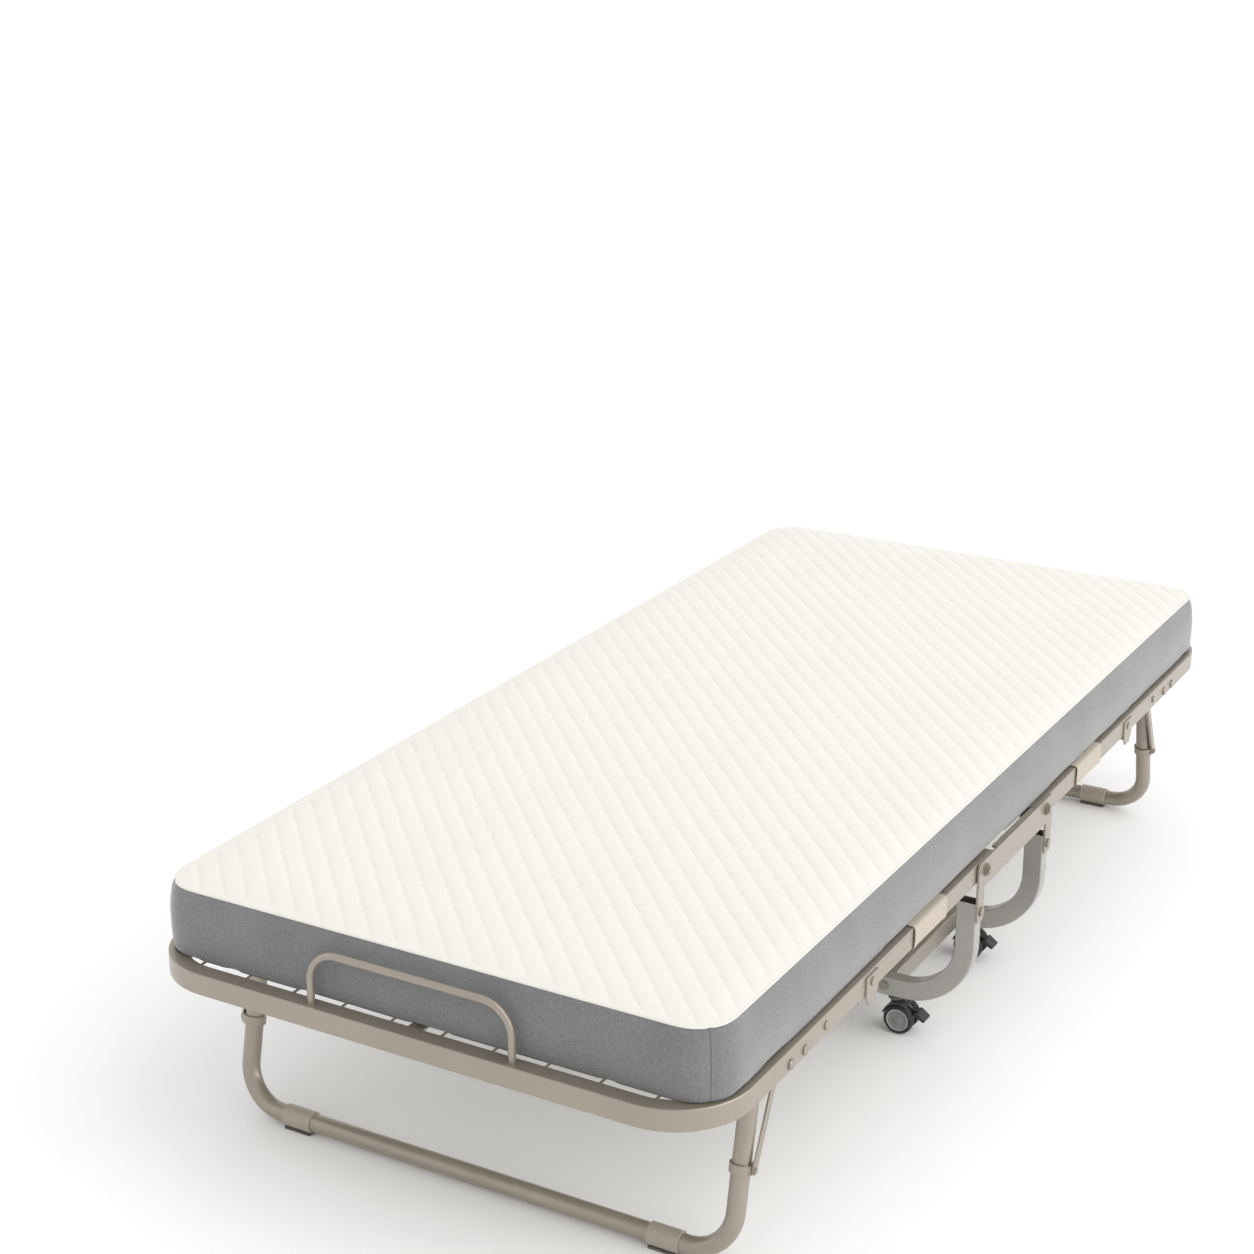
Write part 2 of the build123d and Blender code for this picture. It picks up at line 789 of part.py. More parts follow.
def caster_tyres(side, end):
    """The two tyres of a caster."""
    _, wheel_x, y = caster_place(side, end)
    with BuildPart() as tyres:
        for face in side_signs:
            start = y + face * wheel_spread
            finish = start + face * wheel_width
            along_y(wheel_radius, start, finish, wheel_x, wheel_z)
        fillet(tyres.edges().filter_by(GeomType.CIRCLE), 2.5)
        along_y(wheel_radius - tyre_depth, y - 30, y + 30, wheel_x, wheel_z, Mode.SUBTRACT)
    return tyres.part


def caster_hubs(side, end):
    """The two wheel centres of a caster on their common axle."""
    _, wheel_x, y = caster_place(side, end)
    hub_radius = wheel_radius - tyre_depth - running
    with BuildPart() as hubs:
        for face in side_signs:
            start = y + face * (wheel_spread + 1.0)
            finish = y + face * (wheel_spread + wheel_width - 0.8)
            along_y(hub_radius, start, finish, wheel_x, wheel_z)
        fillet(hubs.edges().filter_by(GeomType.CIRCLE), 0.8)
        along_y(wheel_axle_radius, y - wheel_spread - 2, y + wheel_spread + 2, wheel_x, wheel_z)
    return hubs.part


def caster_brake(side, end):
    """Foot lever of a caster: two cheeks on the brake pin and a wide pad beyond the wheels."""
    _, wheel_x, y = caster_place(side, end)
    pin = (wheel_x + side * brake_pin_x, wheel_z + brake_pin_rise)
    cheek = wheel_spread - 1.0
    neck = (pin[0] + side * brake_arm * 0.55, pin[1] - 2.0)
    tip = (pin[0] + side * brake_arm, pin[1] - 9.0)
    slot_reach = brake_pin_radius + 4 + moving_gap
    with BuildPart() as brake:
        with BuildSketch(Plane.XZ.offset(-y - cheek)):
            with Locations(pin, neck):
                Circle(brake_pin_radius + 2)
            make_hull()
        extrude(amount=2 * cheek)
        with BuildSketch(Plane.XZ.offset(-y - brake_pad_width / 2)):
            with Locations(neck):
                Circle(brake_pin_radius + 1.5)
            with Locations(tip):
                Circle(2.0)
            make_hull()
        extrude(amount=brake_pad_width)
        with Locations((pin[0], y, pin[1])):
            Cylinder(slot_reach, fork_web + 2 * moving_gap, rotation=(90, 0, 0), mode=Mode.SUBTRACT)
        along_y(brake_pin_radius + running, y - brake_pad_width, y + brake_pad_width, *pin, Mode.SUBTRACT)
    return brake.part


# ---------------------------------------------------------------- build everything

os.makedirs("parts", exist_ok=True)

save(middle_mattress(), "mattress_middle")
save(lower_side_bars(), "lower_side_bars")
save(pivot_nuts(), "pivot_nuts")
save(base_bolts(), "base_bolts")
for side_name, side_sign in (("left", -1), ("right", 1)):
    save(side_link(side_sign), f"{side_name}_side_link")

half_pieces = {
    "base_frame": base_frame,
    "pivot_shaft": pivot_shaft,
    "frame": half_frame,
    "crossbars": crossbars,
    "wire_mesh": wire_mesh,
    "centre_bars": centre_bars,
    "pivot_stops": pivot_stops,
    "rail_bolts": rail_bolts,
    "leg_catches": leg_catches,
    "mattress_loop": mattress_loop,
    "sleeves": sleeves,
    "mattress": half_mattress,
    "leg": leg,
    "leg_collars": leg_collars,
    "leg_pads": leg_pads,
    "braces": braces,
    "brace_clips": brace_clips,
}
for end_name, end_sign in ends.items():
    for piece_name, make_piece in half_pieces.items():
        save(make_piece(end_sign), f"{end_name}_{piece_name}")

save(carry_handle(), "carry_handle")
save(carry_handle_clips(), "carry_handle_clips")
save(loop_latch(), "loop_latch")

caster_pieces = {"fork": caster_fork, "tyres": caster_tyres, "hubs": caster_hubs, "brake": caster_brake}
for end_name, end_sign in ends.items():
    for side_name, side_sign in (("left", -1), ("right", 1)):
        for piece_name, make_piece in caster_pieces.items():
            save(make_piece(side_sign, end_sign), f"{end_name}_{side_name}_caster_{piece_name}")
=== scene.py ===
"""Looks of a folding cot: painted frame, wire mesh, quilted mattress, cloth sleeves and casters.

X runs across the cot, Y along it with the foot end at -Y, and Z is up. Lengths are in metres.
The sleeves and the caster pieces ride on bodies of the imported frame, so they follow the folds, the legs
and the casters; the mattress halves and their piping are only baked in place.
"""

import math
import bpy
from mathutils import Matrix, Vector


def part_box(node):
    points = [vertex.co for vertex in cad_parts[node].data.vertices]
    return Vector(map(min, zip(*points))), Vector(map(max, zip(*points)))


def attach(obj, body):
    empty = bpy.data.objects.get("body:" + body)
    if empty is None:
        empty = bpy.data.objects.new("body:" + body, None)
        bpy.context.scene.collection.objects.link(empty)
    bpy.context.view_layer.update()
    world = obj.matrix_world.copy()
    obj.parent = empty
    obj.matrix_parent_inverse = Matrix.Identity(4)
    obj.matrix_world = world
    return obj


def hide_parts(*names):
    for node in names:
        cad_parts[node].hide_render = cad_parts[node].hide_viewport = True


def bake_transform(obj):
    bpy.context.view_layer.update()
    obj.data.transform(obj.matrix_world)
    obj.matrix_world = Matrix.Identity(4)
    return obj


bl_info = {
    "name": "Folding Cot Finish",
    "version": (1, 0, 0),
    "blender": (4, 5, 0),
    "location": "View3D > Sidebar > Cot",
    "description": "Builds the mattress, sleeves, casters and finishes of a folding cot around its frame",
    "category": "Add Mesh",
}

import bmesh
import bpy
import numpy as np
from bpy.props import FloatProperty, FloatVectorProperty, IntProperty, PointerProperty
from mathutils import Matrix, Vector, noise

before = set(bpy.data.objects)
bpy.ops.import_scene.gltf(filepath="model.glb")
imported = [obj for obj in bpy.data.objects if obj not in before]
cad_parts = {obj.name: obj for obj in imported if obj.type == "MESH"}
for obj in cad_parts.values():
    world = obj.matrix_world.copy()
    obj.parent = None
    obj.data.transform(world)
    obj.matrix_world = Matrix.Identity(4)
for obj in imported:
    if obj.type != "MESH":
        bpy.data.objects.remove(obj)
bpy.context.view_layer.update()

ENDS = {"foot": -1, "head": 1}
SIDES = {"left": -1, "right": 1}

# Frames of the pressure simulation, and the angle between the quilting and the cot's width
PUFF_FRAMES = 16
QUILT_SLANT = math.radians(47)

# How far the top seam lies below the top, and how wide one wheel of a caster is
TOP_SEAM_DROP = 0.003
WHEEL_WIDTH = 0.013


# ---------------------------------------------------------------- sizes and colours


class CotSizes(bpy.types.PropertyGroup):
    """Sizes of the soft pieces and of the small detail."""

    quilt_pitch: FloatProperty(
        name="Quilt pitch", description="Distance between two lines of quilting",
        default=0.028, min=0.01, max=0.1, unit="LENGTH",
    )
    quilt_depth: FloatProperty(
        name="Quilt depth", description="Depth of the strong lines of quilting",
        default=0.0014, min=0.0, max=0.01, unit="LENGTH",
    )
    cross_depth: FloatProperty(
        name="Cross depth", description="Depth of the faint lines that cross the strong ones",
        default=0.0003, min=0.0, max=0.01, unit="LENGTH",
    )
    seam_inset: FloatProperty(
        name="Seam inset", description="How far the top seam lies inside the mattress wall",
        default=0.009, min=0.0, max=0.02, unit="LENGTH",
    )
    corner_radius: FloatProperty(
        name="Corner radius", description="Radius of the mattress corners seen from above",
        default=0.052, min=0.02, max=0.2, unit="LENGTH",
    )
    top_puff: FloatProperty(
        name="Top puff", description="Most that the top swells above its seam",
        default=0.0055, min=0.0, max=0.02, unit="LENGTH",
    )
    side_puff: FloatProperty(
        name="Side puff", description="Most that the side wall swells",
        default=0.007, min=0.0, max=0.02, unit="LENGTH",
    )
    grid: FloatProperty(
        name="Cloth grid", description="Spacing of the mesh that is simulated",
        default=0.013, min=0.005, max=0.05, unit="LENGTH",
    )
    piping_radius: FloatProperty(
        name="Piping radius", description="Radius of the piping in the seams",
        default=0.0012, min=0.0005, max=0.01, unit="LENGTH",
    )
    cloth_thickness: FloatProperty(
        name="Sleeve cloth", description="Thickness of the cloth of the sleeves",
        default=0.0012, min=0.0003, max=0.005, unit="LENGTH",
    )
    wheel_steps: IntProperty(
        name="Wheel steps", description="Segments round a wheel",
        default=56, min=12, max=128,
    )


class CotColours(bpy.types.PropertyGroup):
    """Colours of the finishes."""

    paint: FloatVectorProperty(
        name="Frame paint", description="Satin paint of the tubes",
        default=(0.345, 0.303, 0.252), min=0, max=1, size=3, subtype="COLOR",
    )
    base_paint: FloatVectorProperty(
        name="Base paint", description="Greyer paint of the two base frames",
        default=(0.42, 0.405, 0.38), min=0, max=1, size=3, subtype="COLOR",
    )
    knit_top: FloatVectorProperty(
        name="Top knit", description="Quilted knit on top of the mattress",
        default=(0.765, 0.747, 0.69), min=0, max=1, size=3, subtype="COLOR",
    )
    knit_side: FloatVectorProperty(
        name="Side knit", description="Heathered knit round the mattress",
        default=(0.176, 0.177, 0.178), min=0, max=1, size=3, subtype="COLOR",
    )
    sleeve: FloatVectorProperty(
        name="Sleeve cloth", description="Canvas of the sleeves",
        default=(0.43, 0.375, 0.31), min=0, max=1, size=3, subtype="COLOR",
    )
    rubber: FloatVectorProperty(
        name="Tyre rubber", description="Rubber of the tyres",
        default=(0.018, 0.018, 0.019), min=0, max=1, size=3, subtype="COLOR",
    )
    hub: FloatVectorProperty(
        name="Hub plastic", description="Plastic of the wheel discs",
        default=(0.22, 0.22, 0.215), min=0, max=1, size=3, subtype="COLOR",
    )


# ---------------------------------------------------------------- shader maths


class Value:
    """A number on its way through a material, so that shader maths is written as Python."""

    def __init__(self, shader, socket):
        self.shader = shader
        self.socket = socket

    def __add__(self, other):
        return self.shader.maths("ADD", self, other)

    __radd__ = __add__

    def __mul__(self, other):
        return self.shader.maths("MULTIPLY", self, other)

    __rmul__ = __mul__

    def __sub__(self, other):
        return self.shader.maths("SUBTRACT", self, other)

    def __rsub__(self, other):
        return self.shader.maths("SUBTRACT", other, self)

    def __truediv__(self, other):
        return self.shader.maths("DIVIDE", self, other)

    def __abs__(self):
        return self.shader.maths("ABSOLUTE", self)

    def sine(self):
        return self.shader.maths("SINE", self)

    def limited(self):
        """The number kept between 0 and 1."""
        return self.shader.maths("MAXIMUM", self.shader.maths("MINIMUM", self, 1.0), 0.0)

    def between(self, low, high):
        """0 below low, 1 above high and smooth in between."""
        part = ((self - low) / (high - low)).limited()
        return part * part * (3.0 - 2.0 * part)


class Shader:
    """One material and the few calls that build its nodes."""

    def __init__(self, name):
        self.material = bpy.data.materials.new(name)
        self.material.use_nodes = True
        self.tree = self.material.node_tree
        self.surface = self.tree.nodes["Principled BSDF"]

    def node(self, kind, settings=None, **sockets):
        """A node with its settings made first, then values or links on its sockets."""
        node = self.tree.nodes.new(kind)
        for name, value in (settings or {}).items():
            setattr(node, name, value)
        for name, value in sockets.items():
            self.feed(node.inputs[name.replace("_", " ")], value)
        return node

    def feed(self, socket, value):
        """Links a socket or sets its value."""
        if isinstance(value, Value):
            value = value.socket
        if isinstance(value, bpy.types.NodeSocket):
            self.tree.links.new(value, socket)
        else:
            socket.default_value = value

    def maths(self, operation, *values):
        """One Math node on numbers or values."""
        node = self.node("ShaderNodeMath", {"operation": operation})
        for socket, value in zip(node.inputs, values):
            self.feed(socket, value)
        return Value(self, node.outputs[0])

    def mix(self, factor, first, second):
        """One colour turning into another."""
        node = self.node("ShaderNodeMix", {"data_type": "RGBA"})
        self.feed(node.inputs[0], factor)
        for socket, value in ((node.inputs[6], first), (node.inputs[7], second)):
            plain = not isinstance(value, bpy.types.NodeSocket)
            self.feed(socket, (*value, 1.0) if plain else value)
        return node.outputs[2]

    def place(self, attribute=None):
        """Where a point is: in the object, or as its own stored place where the piece bends."""
        if attribute:
            return self.node("ShaderNodeAttribute", {"attribute_name": attribute}).outputs["Vector"]
        return self.node("ShaderNodeTexCoord").outputs["Object"]

    def axes(self, place):
        """The three numbers of a place."""
        node = self.node("ShaderNodeSeparateXYZ", Vector=place)
        return [Value(self, output) for output in node.outputs]

    def grain(self, place, scale, detail=2.0, roughness=0.5, stretch=(1, 1, 1)):
        """Noise between 0 and 1, finer with a higher scale."""
        if stretch != (1, 1, 1):
            place = self.node("ShaderNodeMapping", Vector=place, Scale=stretch).outputs[0]
        node = self.node(
            "ShaderNodeTexNoise", Vector=place, Scale=scale, Detail=detail, Roughness=roughness
        )
        return Value(self, node.outputs[0])

    def bump(self, height, distance, strength):
        """A surface direction that rises and falls with the height."""
        node = self.node("ShaderNodeBump", Height=height, Distance=distance, Strength=strength)
        return node.outputs[0]

    def finish(self, **sockets):
        """Sets the surface's sockets and returns the material."""
        for name, value in sockets.items():
            if isinstance(value, tuple) and len(value) == 3:
                value = (*value, 1.0)
            self.feed(self.surface.inputs[name.replace("_", " ")], value)
        return self.material


def shaded(colour, amount):
    """The colour made lighter or darker by a share."""
    return tuple(min(1.0, part * amount) for part in colour)


# ---------------------------------------------------------------- materials


def satin_paint(name, colour, metal=0.55, rough=0.34):
    """Sprayed satin paint with a faint orange peel and cloudy gloss."""
    shader = Shader(name)
    place = shader.place()
    cloud = shader.grain(place, 9.0, 3.0)
    fleck = shader.grain(place, 1400.0, 1.0)
    peel = shader.grain(place, 420.0, 2.0)
    tone = (0.65 * cloud + 0.35 * fleck).limited()
    return shader.finish(
        Base_Color=shader.mix(tone, shaded(colour, 0.86), shaded(colour, 1.13)),
        Metallic=metal,
        Roughness=(rough - 0.06) + 0.12 * cloud,
        Coat_Weight=0.18,
        Coat_Roughness=0.22,
        Normal=shader.bump(peel, 0.00006, 0.5),
    )


def bare_steel(name, colour, rough=0.3):
    """Drawn or plated steel with fine lines along the tube."""
    shader = Shader(name)
    place = shader.place()
    lines = shader.grain(place, 300.0, 3.0, 0.6, (1, 0.05, 1))
    cloud = shader.grain(place, 25.0, 3.0)
    return shader.finish(
        Base_Color=shader.mix(cloud, shaded(colour, 0.82), shaded(colour, 1.12)),
        Metallic=0.9,
        Roughness=(rough - 0.08) + 0.2 * lines,
        Normal=shader.bump(lines, 0.00003, 0.4),
    )


def moulded_plastic(name, colour, rough=0.5, grain_size=900.0):
    """Plastic with the fine spark-eroded grain of its mould."""
    shader = Shader(name)
    place = shader.place()
    grain = shader.grain(place, grain_size, 2.0)
    cloud = shader.grain(place, 30.0, 2.0)
    return shader.finish(
        Base_Color=shader.mix(cloud, shaded(colour, 0.85), shaded(colour, 1.18)),
        Roughness=(rough - 0.07) + 0.14 * grain,
        Normal=shader.bump(grain, 0.00008, 0.6),
    )


def rubber(name, colour):
    """Matt rubber with scuffs."""
    shader = Shader(name)
    place = shader.place()
    scuff = shader.grain(place, 160.0, 5.0, 0.7)
    pores = shader.grain(place, 1500.0, 1.0)
    return shader.finish(
        Base_Color=shader.mix(scuff.between(0.45, 0.8), colour, shaded(colour, 2.6)),
        Roughness=0.62 + 0.2 * scuff,
        Normal=shader.bump(pores, 0.00006, 0.5),
    )


def weave(shader, place, pitch, slant=(0, 0, 0)):
    """Height of a plain weave of that pitch: warp and weft that cross over and under."""
    turned = shader.node("ShaderNodeMapping", Vector=place, Rotation=slant).outputs[0]
    x, y, z = shader.axes(turned)
    step = 2 * math.pi / pitch
    warp = ((x + z) * step).sine()
    weft = ((y + 0.35 * z) * step).sine()
    return (warp * weft) * 0.5 + 0.5


def knit_top(name, colour, quilting):
    """Cream knit with tiny loops, a very thin crease in each quilting line darkened with painted shade, and
    faint fluff.
    """
    shader = Shader(name)
    place = shader.place("place")
    loops = weave(shader, place, 0.0022, (0, 0, math.radians(45)))
    fluff = shader.grain(place, 900.0, 3.0)
    cloud = shader.grain(place, 6.0, 3.0)
    crease = Value(shader, shader.node("ShaderNodeAttribute", {"attribute_name": "crease"}).outputs["Fac"])
    tone = (0.5 * cloud + 0.3 * fluff + 0.2 * loops).limited()
    cloth = shader.mix(tone, shaded(colour, 0.965), shaded(colour, 1.02))
    height = 0.5 * loops + 0.5 * fluff
    return shader.finish(
        # Painted shade: the colour darkens to 84 per cent along each quilting crease, scaled by the
        # quilting share.
        Base_Color=shader.mix(crease * quilting, cloth, shaded(colour, 0.84)),
        Roughness=0.86,
        Sheen_Weight=0.25,
        Sheen_Roughness=0.5,
        Normal=shader.bump(height, 0.0002, 0.45),
    )


def knit_side(name, colour, corner_x, corner_y):
    """Heathered grey knit: light and dark fibres, fine ribs and a sewn line down each corner."""
    shader = Shader(name)
    place = shader.place("place")
    x, y, z = shader.axes(place)
    fibres = shader.grain(place, 700.0, 3.0, 0.65, (1, 1, 0.35))
    cross = shader.grain(place, 620.0, 3.0, 0.65, (0.35, 0.35, 1))
    cloud = shader.grain(place, 12.0, 4.0)
    heather = (0.45 * fibres + 0.35 * cross + 0.2 * cloud).between(0.36, 0.64)
    ribs = (z * (2 * math.pi / 0.0018)).sine() * 0.5 + 0.5
    across = abs((abs(x) - corner_x) - (abs(y) - corner_y))
    sewn = 1.0 - across.between(0.0004, 0.0016)
    height = 0.45 * fibres + 0.35 * cross + 0.2 * ribs - 1.6 * sewn
    cloth = shader.mix(heather, shaded(colour, 0.80), shaded(colour, 1.20))
    return shader.finish(
        Base_Color=shader.mix(sewn * 0.6, cloth, shaded(colour, 0.35)),
        Roughness=0.9,
        Sheen_Weight=0.7,
        Sheen_Roughness=0.4,
        Normal=shader.bump(height, 0.0003, 0.6),
    )


def canvas(name, colour):
    """Plain woven canvas with uneven yarn and handled, slightly darker patches."""
    shader = Shader(name)
    place = shader.place()
    threads = weave(shader, place, 0.0016)
    uneven = shader.grain(place, 260.0, 4.0, 0.6)
    cloud = shader.grain(place, 22.0, 3.0)
    tone = (0.4 * cloud + 0.35 * uneven + 0.25 * threads).limited()
    return shader.finish(
        Base_Color=shader.mix(tone, shaded(colour, 0.86), shaded(colour, 1.10)),
        Roughness=0.88,
        Sheen_Weight=0.2,
        Normal=shader.bump(0.6 * threads + 0.4 * uneven, 0.0003, 0.6),
    )


def sewing_cord(name, colour):
    """Wrapped piping with a fine slanted texture."""
    shader = Shader(name)
    place = shader.place("place")
    x, y, z = shader.axes(place)
    wrap = ((x + y + 1.4 * z) * (2 * math.pi / 0.0016)).sine() * 0.5 + 0.5
    fluff = shader.grain(place, 800.0, 2.0)
    return shader.finish(
        Base_Color=shader.mix(fluff, shaded(colour, 0.9), shaded(colour, 1.05)),
        Roughness=0.82,
        Normal=shader.bump(0.5 * wrap + 0.5 * fluff, 0.0002, 0.5),
    )


# ---------------------------------------------------------------- mesh helpers


def sizes():
    return bpy.context.scene.cot_sizes


def colours():
    return bpy.context.scene.cot_colours


def object_from(name, bm, *materials, smooth=True):
    """A scene object at the origin from a finished bmesh."""
    mesh = bpy.data.meshes.new(name)
    bm.to_mesh(mesh)
    bm.free()
    obj = bpy.data.objects.new(name, mesh)
    bpy.context.scene.collection.objects.link(obj)
    for material in materials:
        mesh.materials.append(material)
    if smooth:
        mesh.shade_smooth()
    return obj


def points_of(mesh):
    places = np.empty(len(mesh.vertices) * 3)
    mesh.vertices.foreach_get("co", places)
    return places.reshape(-1, 3)


def set_points(mesh, places):
    mesh.vertices.foreach_set("co", places.ravel())
    mesh.update()


def store_place(mesh):
    """Keeps each point's place at rest, so that a pattern stays on the cloth when it bends."""
    attribute = mesh.attributes.get("place") or mesh.attributes.new("place", "FLOAT_VECTOR", "POINT")
    attribute.data.foreach_set("vector", points_of(mesh).astype(np.float32).ravel())


def evaluated_mesh(obj):
    """A new mesh with the object's modifiers applied."""
    graph = bpy.context.evaluated_depsgraph_get()
    return bpy.data.meshes.new_from_object(obj.evaluated_get(graph), depsgraph=graph)


def box_of(node):
    """Lowest and highest corner of a frame node as arrays."""
    low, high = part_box(node)
    return np.array(low), np.array(high)


# ---------------------------------------------------------------- mattress


class MattressPlan:
    """Outline of the mattress seen from above and the profile of its side wall."""

    def __init__(self):
        low, high = box_of("foot_mattress")
        far = box_of("head_mattress")[1]
        self.half_width = high[0] - sizes().seam_inset
        self.half_length = far[1] - sizes().seam_inset
        self.bottom = low[2]
        self.top = high[2]
        self.corner = sizes().corner_radius
        self.corner_x = self.half_width - self.corner
        self.corner_y = self.half_length - self.corner
        self.seam_z = self.top - TOP_SEAM_DROP

    def place(self, x, y, outset):
        """A point of the plain rectangle moved into the rounded outline, grown by the outset."""
        u = max(0.0, (abs(x) - self.corner_x) / self.corner)
        v = max(0.0, (abs(y) - self.corner_y) / self.corner)
        reach = self.corner + outset
        px = min(abs(x), self.corner_x) + reach * u * math.sqrt(1 - v * v / 2)
        py = min(abs(y), self.corner_y) + reach * v * math.sqrt(1 - u * u / 2)
        return math.copysign(px, x), math.copysign(py, y)

    def ring(self, point, outset):
        """A point of the outline moved straight out of the wall."""
        centre = Vector((
            max(-self.corner_x, min(self.corner_x, point.x)),
            max(-self.corner_y, min(self.corner_y, point.y)),
        ))
        outward = (point.xy - centre).normalized()
        return centre + outward * (self.corner + outset)

    def wall(self):
        """Outset and height of the rings of the side wall, from the top seam to the bottom seam."""
        height = self.top - self.bottom
        return (
            (0.0012, self.seam_z - 0.0030),
            (0.0050, self.seam_z - 0.0110),
            (0.0080, self.bottom + 0.70 * height),
            (0.0095, self.bottom + 0.52 * height),
            (0.0095, self.bottom + 0.34 * height),
            (0.0090, self.bottom + 0.18 * height),
            (0.0085, self.bottom + 0.09 * height),
            (0.0080, self.bottom + 0.035 * height),
            (0.0065, self.bottom + 0.006 * height),
        )


def add_panel(bm, plan, outset, z, index):
    """A flat grid over the whole outline, its faces given a material."""
    step = sizes().grid
    old = set(bm.faces)
    points = bmesh.ops.create_grid(
        bm,
        x_segments=round(2 * plan.half_width / step),
        y_segments=round(2 * plan.half_length / step),
        size=1.0,
    )["verts"]
    for point in points:
        x, y = plan.place(point.co.x * plan.half_width, point.co.y * plan.half_length, outset)
        point.co = (x, y, z)
    faces = [face for face in bm.faces if face not in old]
    for face in faces:
        face.material_index = index
    return faces


def mattress_shell(plan):
    """The closed cover: top panel, side wall ring by ring and bottom panel."""
    bm = bmesh.new()
    crease = bm.edges.layers.float.new("crease_edge")
    add_panel(bm, plan, 0.0, plan.seam_z, 0)
    border = [edge for edge in bm.edges if edge.is_boundary]
    for edge in border:
        edge[crease] = 1.0
    for outset, z in plan.wall():
        made = bmesh.ops.extrude_edge_only(bm, edges=border)["geom"]
        for part in made:
            if isinstance(part, bmesh.types.BMFace):
                part.material_index = 1
            elif isinstance(part, bmesh.types.BMVert):
                x, y = plan.ring(part.co, outset)
                part.co = (x, y, z)
        border = [part for part in made if isinstance(part, bmesh.types.BMEdge) and part.is_boundary]
    for edge in border:
        edge[crease] = 0.8
    last_outset, last_z = plan.wall()[-1]
    bottom = add_panel(bm, plan, last_outset, last_z, 2)
    bmesh.ops.reverse_faces(bm, faces=bottom)
    bmesh.ops.remove_doubles(bm, verts=bm.verts[:], dist=0.0002)
    bmesh.ops.recalc_face_normals(bm, faces=bm.faces[:])
    return bm


def puff_up(obj, plan):
    """Swells the cover with a short pressure simulation, with the top seam and the bottom held."""
    mesh = obj.data
    flat = points_of(mesh)
    held = obj.vertex_groups.new(name="held")
    seam = abs(flat[:, 2] - plan.seam_z) < 0.0001
    border = seam & (np.abs(inset_of(plan, flat)) < 0.0005)
    under = flat[:, 2] < plan.wall()[-1][1] + 0.0001
    held.add([int(i) for i in np.nonzero(border | under)[0]], 1.0, "REPLACE")
    cloth = obj.modifiers.new("Pressure", "CLOTH")
    settings = cloth.settings
    settings.quality = 4
    settings.mass = 0.3
    settings.use_pressure = True
    settings.uniform_pressure_force = 4.0
    settings.vertex_group_mass = held.name
    settings.effector_weights.gravity = 0.0
    cloth.collision_settings.use_collision = False
    scene = bpy.context.scene
    cloth.point_cache.frame_end = PUFF_FRAMES
    for number in range(1, PUFF_FRAMES + 1):
        scene.frame_set(number)
    swollen = points_of(evaluated_mesh(obj))
    obj.modifiers.remove(cloth)
    obj.vertex_groups.clear()
    scene.frame_set(1)
    return swollen


def inset_of(plan, places):
    """How far each point is inside the outline of the top seam."""
    x = np.abs(places[:, 0])
    y = np.abs(places[:, 1])
    over_x = np.maximum(x - plan.corner_x, 0)
    over_y = np.maximum(y - plan.corner_y, 0)
    return plan.corner - np.hypot(over_x, over_y)


def limited_travel(flat, swollen, plan):
    """The swelling cut down smoothly to the most that the top and the wall may move."""
    travel = swollen - flat
    length = np.linalg.norm(travel, axis=1)
    top = flat[:, 2] > plan.seam_z - 0.0001
    most = np.where(top, sizes().top_puff, sizes().side_puff)
    kept = most * np.tanh(length / most)
    return flat + travel * (kept / np.maximum(length, 1e-9))[:, None]


def quilt_lines(x, y):
    """Depth of the quilting at points of the top, and nearness to a quilting line, where shade is painted
    into the crease.
    """
    pitch = sizes().quilt_pitch
    across, along_cot = math.sin(QUILT_SLANT), math.cos(QUILT_SLANT)
    strong = x * across + y * along_cot
    faint = x * across - y * along_cot
    strong = strong + 0.0004 * np.sin(faint * math.pi / pitch)
    depth = np.zeros_like(x)
    crease_shade = np.zeros_like(x)
    for along, deep in ((strong, sizes().quilt_depth), (faint, sizes().cross_depth)):
        swell = np.abs(np.sin(math.pi * along / pitch))
        depth += deep * (1 - swell ** 0.45)
        # Mask of painted shade: near 1 on the strong quilting lines, weaker on the faint ones.
        crease_shade = np.maximum(crease_shade, np.clip(1 - swell / 0.22, 0, 1) * deep / sizes().quilt_depth)
    return depth, crease_shade


